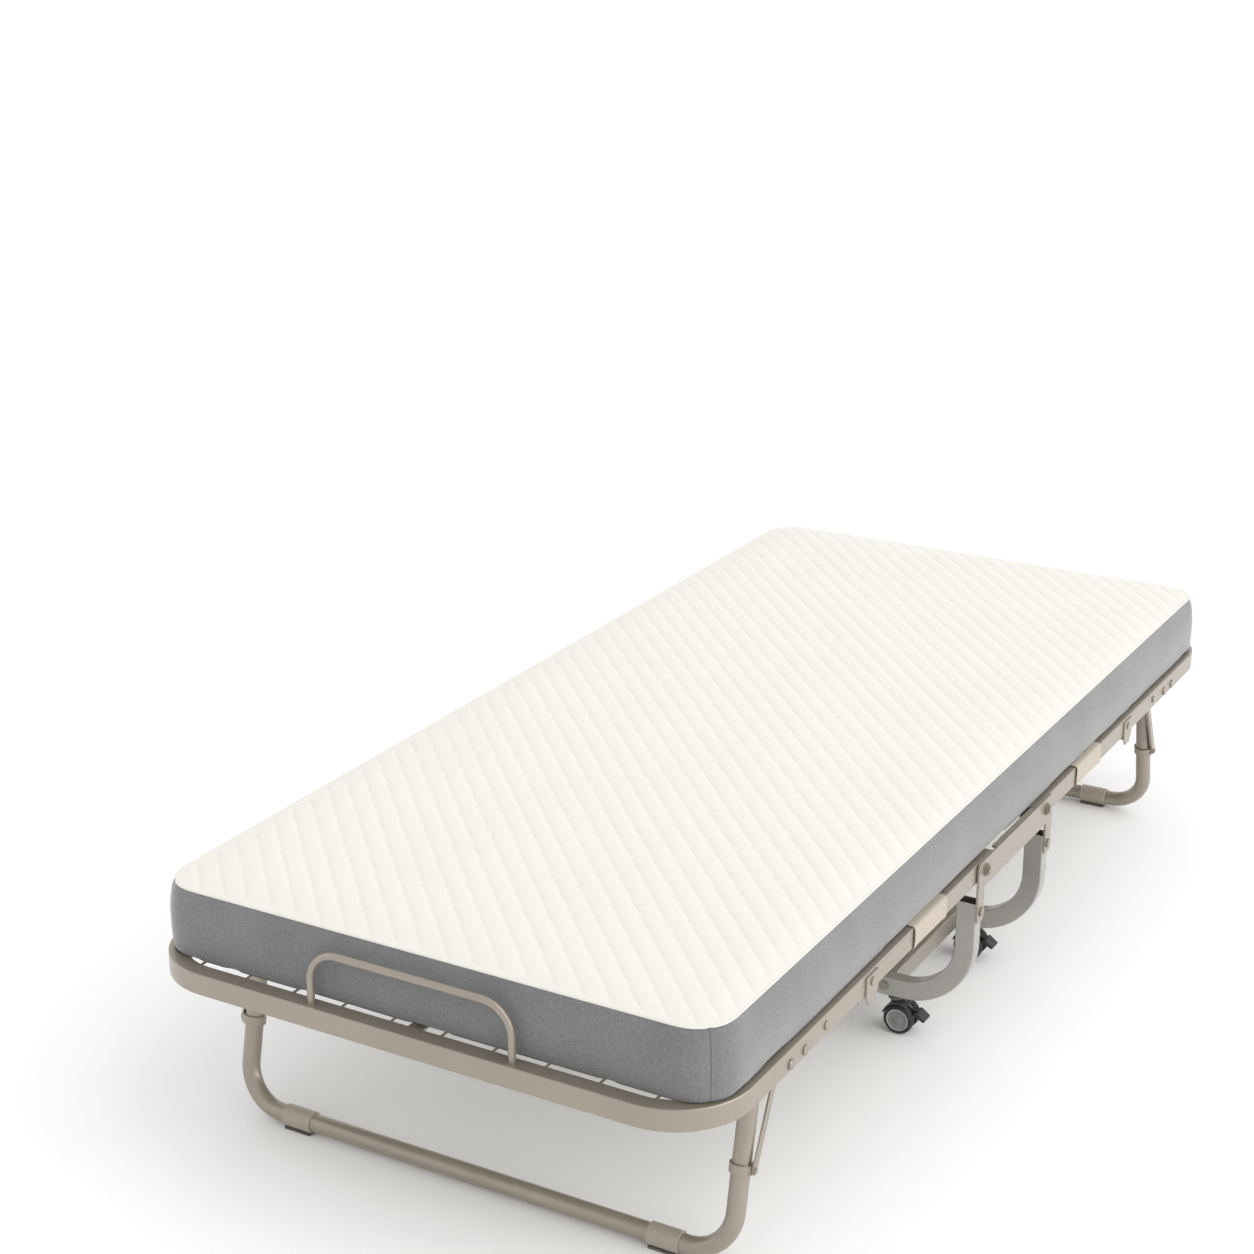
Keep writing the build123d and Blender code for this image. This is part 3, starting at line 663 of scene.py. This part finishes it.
def finish_cover(obj, plan):
    """Subdivides the cover, then sinks the quilting and the corner seams into it."""
    divide = obj.modifiers.new("Smooth", "SUBSURF")
    divide.levels = 1
    divide.render_levels = 1
    mesh = evaluated_mesh(obj)
    obj.modifiers.clear()
    bm = bmesh.new()
    bm.from_mesh(mesh)
    top_faces = [face for face in bm.faces if face.material_index == 0]
    top_edges = list({edge for face in top_faces for edge in face.edges})
    bmesh.ops.subdivide_edges(bm, edges=top_edges, cuts=1, use_grid_fill=True)
    bm.to_mesh(obj.data)
    top_points = {vert.index for face in bm.faces if face.material_index == 0 for vert in face.verts}
    seam_points = {
        vert.index for vert in bm.verts
        if {face.material_index for face in vert.link_faces} == {0, 1}
    }
    bm.free()
    bpy.data.meshes.remove(mesh)
    mesh = obj.data
    places = points_of(mesh)
    inner = np.zeros(len(places), bool)
    inner[list(top_points - seam_points)] = True
    x, y = places[:, 0], places[:, 1]
    depth, crease_shade = quilt_lines(x, y)
    inside = inset_of(plan, places)
    fade = np.clip(inside / 0.018, 0, 1)
    fade = fade * fade * (3 - 2 * fade)
    places[inner, 2] -= (depth * fade)[inner]
    corner = np.abs((np.abs(x) - plan.corner_x) - (np.abs(y) - plan.corner_y))
    wall = ~inner & (np.minimum(np.abs(x) - plan.corner_x, np.abs(y) - plan.corner_y) > 0)
    pinch = 0.0016 * np.exp(-((corner / 0.005) ** 2)) * wall
    places[:, 0] -= pinch * np.sign(x) * 0.7
    places[:, 1] -= pinch * np.sign(y) * 0.7
    soft = np.array([noise.noise(Vector(point) * 7.0) for point in places])
    places[inner, 2] += (0.0011 * soft * fade)[inner]
    side = ~inner
    side[list(seam_points)] = False
    outward = np.zeros_like(places)
    outward[:, 0] = np.where(np.abs(x) > plan.corner_x, np.sign(x), 0)
    outward[:, 1] = np.where(np.abs(y) > plan.corner_y, np.sign(y), 0)
    places[side] += (0.0012 * soft[:, None] * outward)[side]
    set_points(mesh, places)
    # The mask of painted crease shade is kept for the top's material, which darkens the colour there.
    crease = mesh.attributes.new("crease", "FLOAT", "POINT")
    crease.data.foreach_set("value", (crease_shade * fade * inner).astype(np.float32))
    return seam_points


def half_of(obj, name, end):
    """The part of a piece on one side of the middle, with the cut closed."""
    bm = bmesh.new()
    bm.from_mesh(obj.data)
    bmesh.ops.bisect_plane(
        bm, geom=bm.verts[:] + bm.edges[:] + bm.faces[:], dist=0.00001,
        plane_co=(0, 0, 0), plane_no=(0, -end, 0), clear_outer=True,
    )
    rim = [edge for edge in bm.edges if edge.is_boundary]
    for edge in rim:
        edge.smooth = False
    bmesh.ops.holes_fill(bm, edges=rim, sides=0)
    piece = object_from(name, bm, *obj.data.materials)
    for edge in piece.data.edges:
        first, second = (piece.data.vertices[i].co.y for i in edge.vertices)
        if abs(first) < 1e-6 and abs(second) < 1e-6:
            edge.use_edge_sharp = True
    store_place(piece.data)
    return piece


def seam_loop(mesh, first, second):
    """Places of the points along the edge between two panels, in order."""
    bm = bmesh.new()
    bm.from_mesh(mesh)
    chain = {}
    for edge in bm.edges:
        if {face.material_index for face in edge.link_faces} == {first, second}:
            a, b = edge.verts
            chain.setdefault(a, []).append(b)
            chain.setdefault(b, []).append(a)
    start = next(iter(chain))
    loop, before, here = [start.co.copy()], None, start
    while True:
        onward = [vert for vert in chain[here] if vert is not before][0]
        before, here = here, onward
        if here is start:
            break
        loop.append(here.co.copy())
    bm.free()
    return loop


def piping(name, loop, shift, material):
    """A closed cord of piping along a seam."""
    curve = bpy.data.curves.new(name, "CURVE")
    curve.dimensions = "3D"
    curve.bevel_depth = sizes().piping_radius
    curve.bevel_resolution = 2
    spline = curve.splines.new("POLY")
    spline.points.add(len(loop) - 1)
    for point, place in zip(spline.points, loop):
        point.co = (*(place + shift), 1.0)
    spline.use_cyclic_u = True
    holder = bpy.data.objects.new(name, curve)
    bpy.context.scene.collection.objects.link(holder)
    mesh = evaluated_mesh(holder)
    bpy.data.objects.remove(holder)
    mesh.materials.clear()
    mesh.materials.append(material)
    return bpy.data.objects.new(name, mesh)


def bend_with_fold(piece):
    """Bakes the placement of a piece of the mattress into its points; nothing makes it bend."""
    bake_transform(piece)


class COT_OT_mattress(bpy.types.Operator):
    """Build the quilted foam mattress in two halves, cut where the cot folds"""

    bl_idname = "cot.mattress"
    bl_label = "Mattress"

    def execute(self, context):
        plan = MattressPlan()
        # 0.8 is the share of painted shade in the quilting creases.
        top = knit_top("quilted knit", tuple(colours().knit_top), 0.8)
        side = knit_side("heather knit", tuple(colours().knit_side), plan.corner_x, plan.corner_y)
        under = canvas("under cloth", tuple(colours().knit_top))
        cord = sewing_cord("piping cord", tuple(colours().knit_top))
        binding = sewing_cord("edge binding", shaded(tuple(colours().knit_side), 0.8))
        cover = object_from("whole_cover", mattress_shell(plan), top, side, under)
        flat = points_of(cover.data)
        swollen = puff_up(cover, plan)
        set_points(cover.data, limited_travel(flat, swollen, plan))
        finish_cover(cover, plan)
        cords = {
            "top_piping": piping("top", seam_loop(cover.data, 0, 1), Vector((0, 0, -0.0006)), cord),
            "bottom_piping": piping("bottom", seam_loop(cover.data, 1, 2), Vector((0, 0, 0)), binding),
        }
        for end_name, end in ENDS.items():
            pad = half_of(cover, f"{end_name}_mattress_pad", end)
            bend_with_fold(pad)
            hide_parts(f"{end_name}_mattress", "mattress_middle")
            for cord_name, whole in cords.items():
                piece = half_of(whole, f"{end_name}_{cord_name}", end)
                bend_with_fold(piece)
        bpy.data.objects.remove(cover)
        for whole in cords.values():
            bpy.data.objects.remove(whole)
        return {"FINISHED"}


# ---------------------------------------------------------------- sleeves


def hull_outline(circles, count):
    """Points at equal steps along the tight loop round circles given by centre and radius."""
    steps = [2 * math.pi * k / 24 for k in range(24)]
    cloud = [
        Vector(centre) + radius * Vector((math.cos(angle), math.sin(angle)))
        for centre, radius in circles for angle in steps
    ]
    middle = sum(cloud, Vector((0, 0))) / len(cloud)
    start = min(cloud, key=lambda p: (p.x, p.y))
    loop = [start]
    while True:
        here = loop[-1]
        pick = cloud[0] if cloud[0] != here else cloud[1]
        for point in cloud:
            turn = (pick - here).cross(point - here)
            if turn < -1e-12 or (abs(turn) <= 1e-12 and (point - here).length > (pick - here).length):
                pick = point
        if (pick - start).length < 1e-9:
            break
        loop.append(pick)
    loop.append(start)
    spans = [(b - a).length for a, b in zip(loop, loop[1:])]
    total = sum(spans)
    out = []
    for k in range(count):
        rest = total * k / count
        for a, b, span in zip(loop, loop[1:], spans):
            if rest <= span:
                out.append(a + (b - a) * (rest / span))
                break
            rest -= span
    return out, total, middle


class COT_OT_sleeves(bpy.types.Operator):
    """Build the cloth sleeves that are stretched round the side rails and the outer wires"""

    bl_idname = "cot.sleeves"
    bl_label = "Sleeves"

    rail_width = 0.025
    tube_corner = 0.002
    outer_wire_x = 0.3375
    wire_radius = 0.00175

    def outline(self, side, count):
        """Loop of the cloth's outer face in X and Z."""
        low, high = box_of("foot_frame")
        wire_z = box_of("foot_wire_mesh")[1][2] - self.wire_radius
        grow = 0.0004 + sizes().cloth_thickness
        soft = self.tube_corner
        across = (side * (high[0] - soft), side * (high[0] - self.rail_width + soft))
        circles = [((x, z), soft + grow) for x in across for z in (low[2] + soft, high[2] - soft)]
        circles.append(((side * self.outer_wire_x, wire_z), self.wire_radius + grow))
        return hull_outline(circles, count)

    def sleeve(self, name, end_name, side, material):
        low, high = box_of(f"{end_name}_sleeves")
        loop, around, middle = self.outline(side, 96)
        rows = 30
        bm = bmesh.new()
        ring = bmesh.ops.create_circle(bm, segments=len(loop), radius=1.0)["verts"]
        for vert, point in zip(ring, loop):
            vert.co = (point.x, low[1], point.y)
        edges = bm.edges[:]
        for row in range(1, rows + 1):
            made = bmesh.ops.extrude_edge_only(bm, edges=edges)["geom"]
            for part in made:
                if isinstance(part, bmesh.types.BMVert):
                    part.co.y = low[1] + (high[1] - low[1]) * row / rows
            edges = [
                part for part in made
                if isinstance(part, bmesh.types.BMEdge)
                and abs(part.verts[0].co.y - part.verts[1].co.y) < 1e-7
            ]
        centre = Vector((middle.x, middle.y))
        for vert in bm.verts:
            out = (Vector((vert.co.x, vert.co.z)) - centre).normalized()
            along = (vert.co.y - low[1]) / (high[1] - low[1])
            edge = min(along, 1 - along)
            hem = 0.0007 if edge < 0.085 else 0.0
            crease = noise.noise(Vector((vert.co.x * 60, vert.co.y * 22, vert.co.z * 60)))
            lift = hem + 0.0007 * max(0.0, crease + 0.35)
            vert.co.x += out.x * lift
            vert.co.z += out.y * lift
            vert.co.y += 0.0012 * noise.noise(Vector((vert.co.x * 40, 3.0, vert.co.z * 40))) * (edge < 0.3)
        bmesh.ops.recalc_face_normals(bm, faces=bm.faces[:])
        bmesh.ops.smooth_vert(bm, verts=bm.verts[:], factor=0.35, use_axis_x=True, use_axis_z=True)
        piece = object_from(name, bm, material)
        thicken = piece.modifiers.new("Cloth", "SOLIDIFY")
        thicken.thickness = sizes().cloth_thickness * 0.85
        thicken.offset = -1.0
        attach(piece, f"{end_name}_half")
        return piece

    def execute(self, context):
        material = canvas("sleeve canvas", tuple(colours().sleeve))
        for end_name in ENDS:
            for side_name, side in SIDES.items():
                piece = self.sleeve(f"{end_name}_{side_name}_sleeve", end_name, side, material)
                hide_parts(f"{end_name}_sleeves")
        return {"FINISHED"}


# ---------------------------------------------------------------- casters


def spun(bm, profile, centre, steps):
    """A closed ring or disc from a profile of radius and Y, turned round an axis along Y."""
    points = [bm.verts.new((centre[0] + radius, centre[1] + y, centre[2])) for radius, y in profile]
    edges = [bm.edges.new(pair) for pair in zip(points, points[1:])]
    bmesh.ops.spin(
        bm, geom=points + edges, cent=centre, axis=(0, 1, 0), dvec=(0, 0, 0),
        angle=2 * math.pi, steps=steps, use_merge=True,
    )


class COT_OT_casters(bpy.types.Operator):
    """Build the twin wheels of the four casters: tyres, dished discs and the hood over them"""

    bl_idname = "cot.casters"
    bl_label = "Casters"

    def tyre(self, name, centre, radius, near, far, material):
        """One pair of tyres: rounded shoulders, a flat tread and a step down to the disc."""
        bm = bmesh.new()
        inner = radius - 0.0056
        for face in (-1, 1):
            profile = [
                (inner, near), (radius - 0.0030, near), (radius - 0.0010, near + 0.0006),
                (radius - 0.0002, near + 0.0022), (radius, near + 0.0045), (radius, far - 0.0050),
                (radius - 0.0006, far - 0.0026), (radius - 0.0020, far - 0.0008),
                (radius - 0.0036, far), (radius - 0.0044, far - 0.0002),
                (radius - 0.0048, far - 0.0010), (inner, far - 0.0014), (inner, near),
            ]
            spun(bm, [(r, face * y) for r, y in profile], centre, sizes().wheel_steps)
        bmesh.ops.remove_doubles(bm, verts=bm.verts[:], dist=0.00001)
        bmesh.ops.recalc_face_normals(bm, faces=bm.faces[:])
        return object_from(name, bm, material)

    def disc(self, name, centre, radius, near, far, materials):
        """One pair of wheel discs: a bright rim, a shallow dish and a raised centre cap."""
        bm = bmesh.new()
        rim = radius - 0.0058
        for face in (-1, 1):
            profile = [
                (0.0, near), (rim, near), (rim, far - 0.0008), (rim - 0.0004, far - 0.0003),
                (rim - 0.0012, far - 0.0003), (rim - 0.0016, far - 0.0008), (rim - 0.0020, far - 0.0016),
                (rim * 0.62, far - 0.0021), (0.0052, far - 0.0019), (0.0048, far - 0.0014),
                (0.0042, far - 0.0012), (0.0, far - 0.0011),
            ]
            spun(bm, [(r, face * y) for r, y in profile], centre, sizes().wheel_steps)
        bmesh.ops.remove_doubles(bm, verts=bm.verts[:], dist=0.00001)
        bmesh.ops.recalc_face_normals(bm, faces=bm.faces[:])
        for face in bm.faces:
            reach = (face.calc_center_median() - Vector(centre)).xz.length
            face.material_index = 1 if rim - 0.0017 < reach < rim else 0
        return object_from(name, bm, *materials)

    def hood(self, name, centre, side, radius, reach, material):
        """Curved hood over the wheels, rounded at its edges and open towards the brake."""
        bm = bmesh.new()
        inner, outer = radius + 0.0010, radius + 0.0030
        start, finish = math.radians(62), math.radians(168)
        corners = [(inner, -reach), (outer, -reach), (outer, reach), (inner, reach)]
        section = []
        for r, y in corners:
            section.append(bm.verts.new((r, y, 0)))
        face = bm.faces.new(section)
        turn = Matrix.Rotation(-start, 4, "Y")
        bmesh.ops.transform(bm, matrix=turn, verts=bm.verts[:])
        bmesh.ops.spin(
            bm, geom=[face], cent=(0, 0, 0), axis=(0, -1, 0), dvec=(0, 0, 0),
            angle=finish - start, steps=22,
        )
        bmesh.ops.recalc_face_normals(bm, faces=bm.faces[:])
        sharp = [edge for edge in bm.edges if not edge.is_boundary and edge.calc_face_angle(0) > 0.9]
        bmesh.ops.bevel(bm, geom=sharp, offset=0.0006, affect="EDGES", segments=2, profile=0.5, material=-1)
        place = Matrix.Translation(centre)
        if side < 0:
            place = place @ Matrix.Diagonal((-1, 1, 1, 1))
        bmesh.ops.transform(bm, matrix=place, verts=bm.verts[:])
        bmesh.ops.recalc_face_normals(bm, faces=bm.faces[:])
        return object_from(name, bm, material)

    def execute(self, context):
        tyre_rubber = rubber("tyre rubber", tuple(colours().rubber))
        disc_plastic = moulded_plastic("disc plastic", tuple(colours().hub), 0.42)
        rim_plastic = moulded_plastic("disc rim", shaded(tuple(colours().hub), 2.0), 0.3)
        hood_plastic = moulded_plastic("hood plastic", (0.055, 0.056, 0.058), 0.42)
        for end_name in ENDS:
            for side_name, side in SIDES.items():
                key = f"{end_name}_{side_name}_caster"
                low, high = box_of(f"{key}_tyres")
                centre = tuple((low + high) / 2)
                radius = (high[2] - low[2]) / 2
                far = (high[1] - low[1]) / 2
                near = far - WHEEL_WIDTH
                tyre = self.tyre(f"{key}_tyre_pair", centre, radius, near, far, tyre_rubber)
                disc = self.disc(f"{key}_disc_pair", centre, radius, near, far, (disc_plastic, rim_plastic))
                hood = self.hood(f"{key}_hood", centre, side, radius, far - 0.003, hood_plastic)
                for piece, slot, body in (
                    (tyre, "tyre_rubber", "wheels"),
                    (disc, "hub_plastic", "wheels"),
                    (hood, "brake_plastic", "fork"),
                ):
                    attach(piece, f"{key}_{body}")
                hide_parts(f"{key}_tyres")
                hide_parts(f"{key}_hubs")
        return {"FINISHED"}


# ---------------------------------------------------------------- finishes of the frame


class COT_OT_frame_finish(bpy.types.Operator):
    """Give every carried frame node its paint, plating, rubber or plastic"""

    bl_idname = "cot.frame_finish"
    bl_label = "Frame finishes"

    def execute(self, context):
        paint = tuple(colours().paint)
        bolt_paint = satin_paint("bolt paint", shaded(paint, 0.92), 0.7, 0.28)
        finishes = {
            "wire_mesh": satin_paint("wire paint", shaded(paint, 0.86), 0.6, 0.32),
            "centre_bars": satin_paint("bar paint", shaded(paint, 0.8), 0.5, 0.4),
            "pivot_shaft": bare_steel("shaft steel", (0.52, 0.50, 0.47)),
            "bolts": bolt_paint,
            "nuts": bolt_paint,
            # Leg pads: rubber, made near black so that they also paint the shadow line under the collars.
            "leg_pads": rubber("pad rubber and painted shadow", (0.075, 0.07, 0.062)),
            "caster_fork": moulded_plastic("fork metal", (0.10, 0.10, 0.10), 0.4),
            "caster_brake": moulded_plastic("brake plastic", (0.022, 0.022, 0.023), 0.45),
            "collars": satin_paint("collar plastic", shaded(paint, 1.06), 0.1, 0.45),
            "base_frame": satin_paint("base paint", tuple(colours().base_paint), 0.65, 0.3),
        }
        plain = satin_paint("frame paint", paint)
        for name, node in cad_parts.items():
            chosen = next((made for key, made in finishes.items() if name.endswith(key)), plain)
            node.data.materials.clear()
            node.data.materials.append(chosen)
        return {"FINISHED"}


# ---------------------------------------------------------------- stage


class COT_OT_stage(bpy.types.Operator):
    """Set up the pale floor, the soft light and the camera"""

    bl_idname = "cot.stage"
    bl_label = "Stage"

    def floor(self):
        shader = Shader("studio floor")
        place = shader.place()
        cloud = shader.grain(place, 0.7, 2.0)
        material = shader.finish(
            Base_Color=shader.mix(cloud, (0.945, 0.945, 0.945), (0.96, 0.96, 0.96)),
            Roughness=0.75,
            Specular_IOR_Level=0.2,
        )
        bm = bmesh.new()
        bmesh.ops.create_grid(bm, x_segments=4, y_segments=4, size=60.0)
        floor = object_from("studio_floor", bm, material, smooth=False)

    def light(self, name, kind, place, aim, power, size):
        data = bpy.data.lights.new(name, kind)
        data.energy = power
        if kind == "SUN":
            data.angle = size
        else:
            data.shape = "RECTANGLE"
            data.size, data.size_y = size
        lamp = bpy.data.objects.new(name, data)
        lamp.location = place
        lamp.rotation_euler = (Vector(aim) - Vector(place)).to_track_quat("-Z", "Y").to_euler()
        bpy.context.scene.collection.objects.link(lamp)

    def execute(self, context):
        scene = context.scene
        self.floor()
        world = bpy.data.worlds.new("studio")
        world.use_nodes = True
        background = world.node_tree.nodes["Background"]
        background.inputs["Color"].default_value = (1.0, 1.0, 1.0, 1.0)
        background.inputs["Strength"].default_value = 0.94
        scene.world = world
        self.light("key", "SUN", (4.6, 0.4, 4.0), (0, 0, 0.2), 1.0, math.radians(70))
        self.light("right", "AREA", (3.2, 0.2, 0.9), (0, 0, 0.3), 30.0, (3.4, 1.0))
        self.light("left", "AREA", (-3.0, -2.2, 1.8), (0, -0.5, 0.3), 6.0, (1.4, 1.6))
        scene.view_settings.view_transform = "Standard"
        camera = bpy.data.cameras.new("camera")
        camera.lens = 68.26
        camera.sensor_width = 36.0
        camera.clip_end = 200.0
        holder = bpy.data.objects.new("camera", camera)
        holder.location = (1.512, -3.045, 1.735)
        holder.rotation_euler = (math.radians(70.51), 0.0, math.radians(29.76))
        scene.collection.objects.link(holder)
        scene.camera = holder
        return {"FINISHED"}


# ---------------------------------------------------------------- add-on


class COT_PT_build(bpy.types.Panel):
    """Lists the pieces of the cot"""

    bl_label = "Folding Cot"
    bl_space_type = "VIEW_3D"
    bl_region_type = "UI"
    bl_category = "Cot"

    def draw(self, context):
        for group in (context.scene.cot_sizes, context.scene.cot_colours):
            box = self.layout.box()
            for name in group.bl_rna.properties.keys():
                if name not in {"rna_type", "name"}:
                    box.prop(group, name)
        for operator in OPERATORS:
            self.layout.operator(operator.bl_idname)


OPERATORS = (
    COT_OT_stage,
    COT_OT_frame_finish,
    COT_OT_mattress,
    COT_OT_sleeves,
    COT_OT_casters,
)
CLASSES = (CotSizes, CotColours, *OPERATORS, COT_PT_build)


def register():
    for kind in CLASSES:
        bpy.utils.register_class(kind)
    bpy.types.Scene.cot_sizes = PointerProperty(type=CotSizes)
    bpy.types.Scene.cot_colours = PointerProperty(type=CotColours)


def unregister():
    del bpy.types.Scene.cot_colours
    del bpy.types.Scene.cot_sizes
    for kind in reversed(CLASSES):
        bpy.utils.unregister_class(kind)


def main():
    """Builds everything."""
    register()
    bpy.ops.cot.stage()
    bpy.ops.cot.frame_finish()
    bpy.ops.cot.mattress()
    bpy.ops.cot.sleeves()
    bpy.ops.cot.casters()


if __name__ == "__main__":
    main()
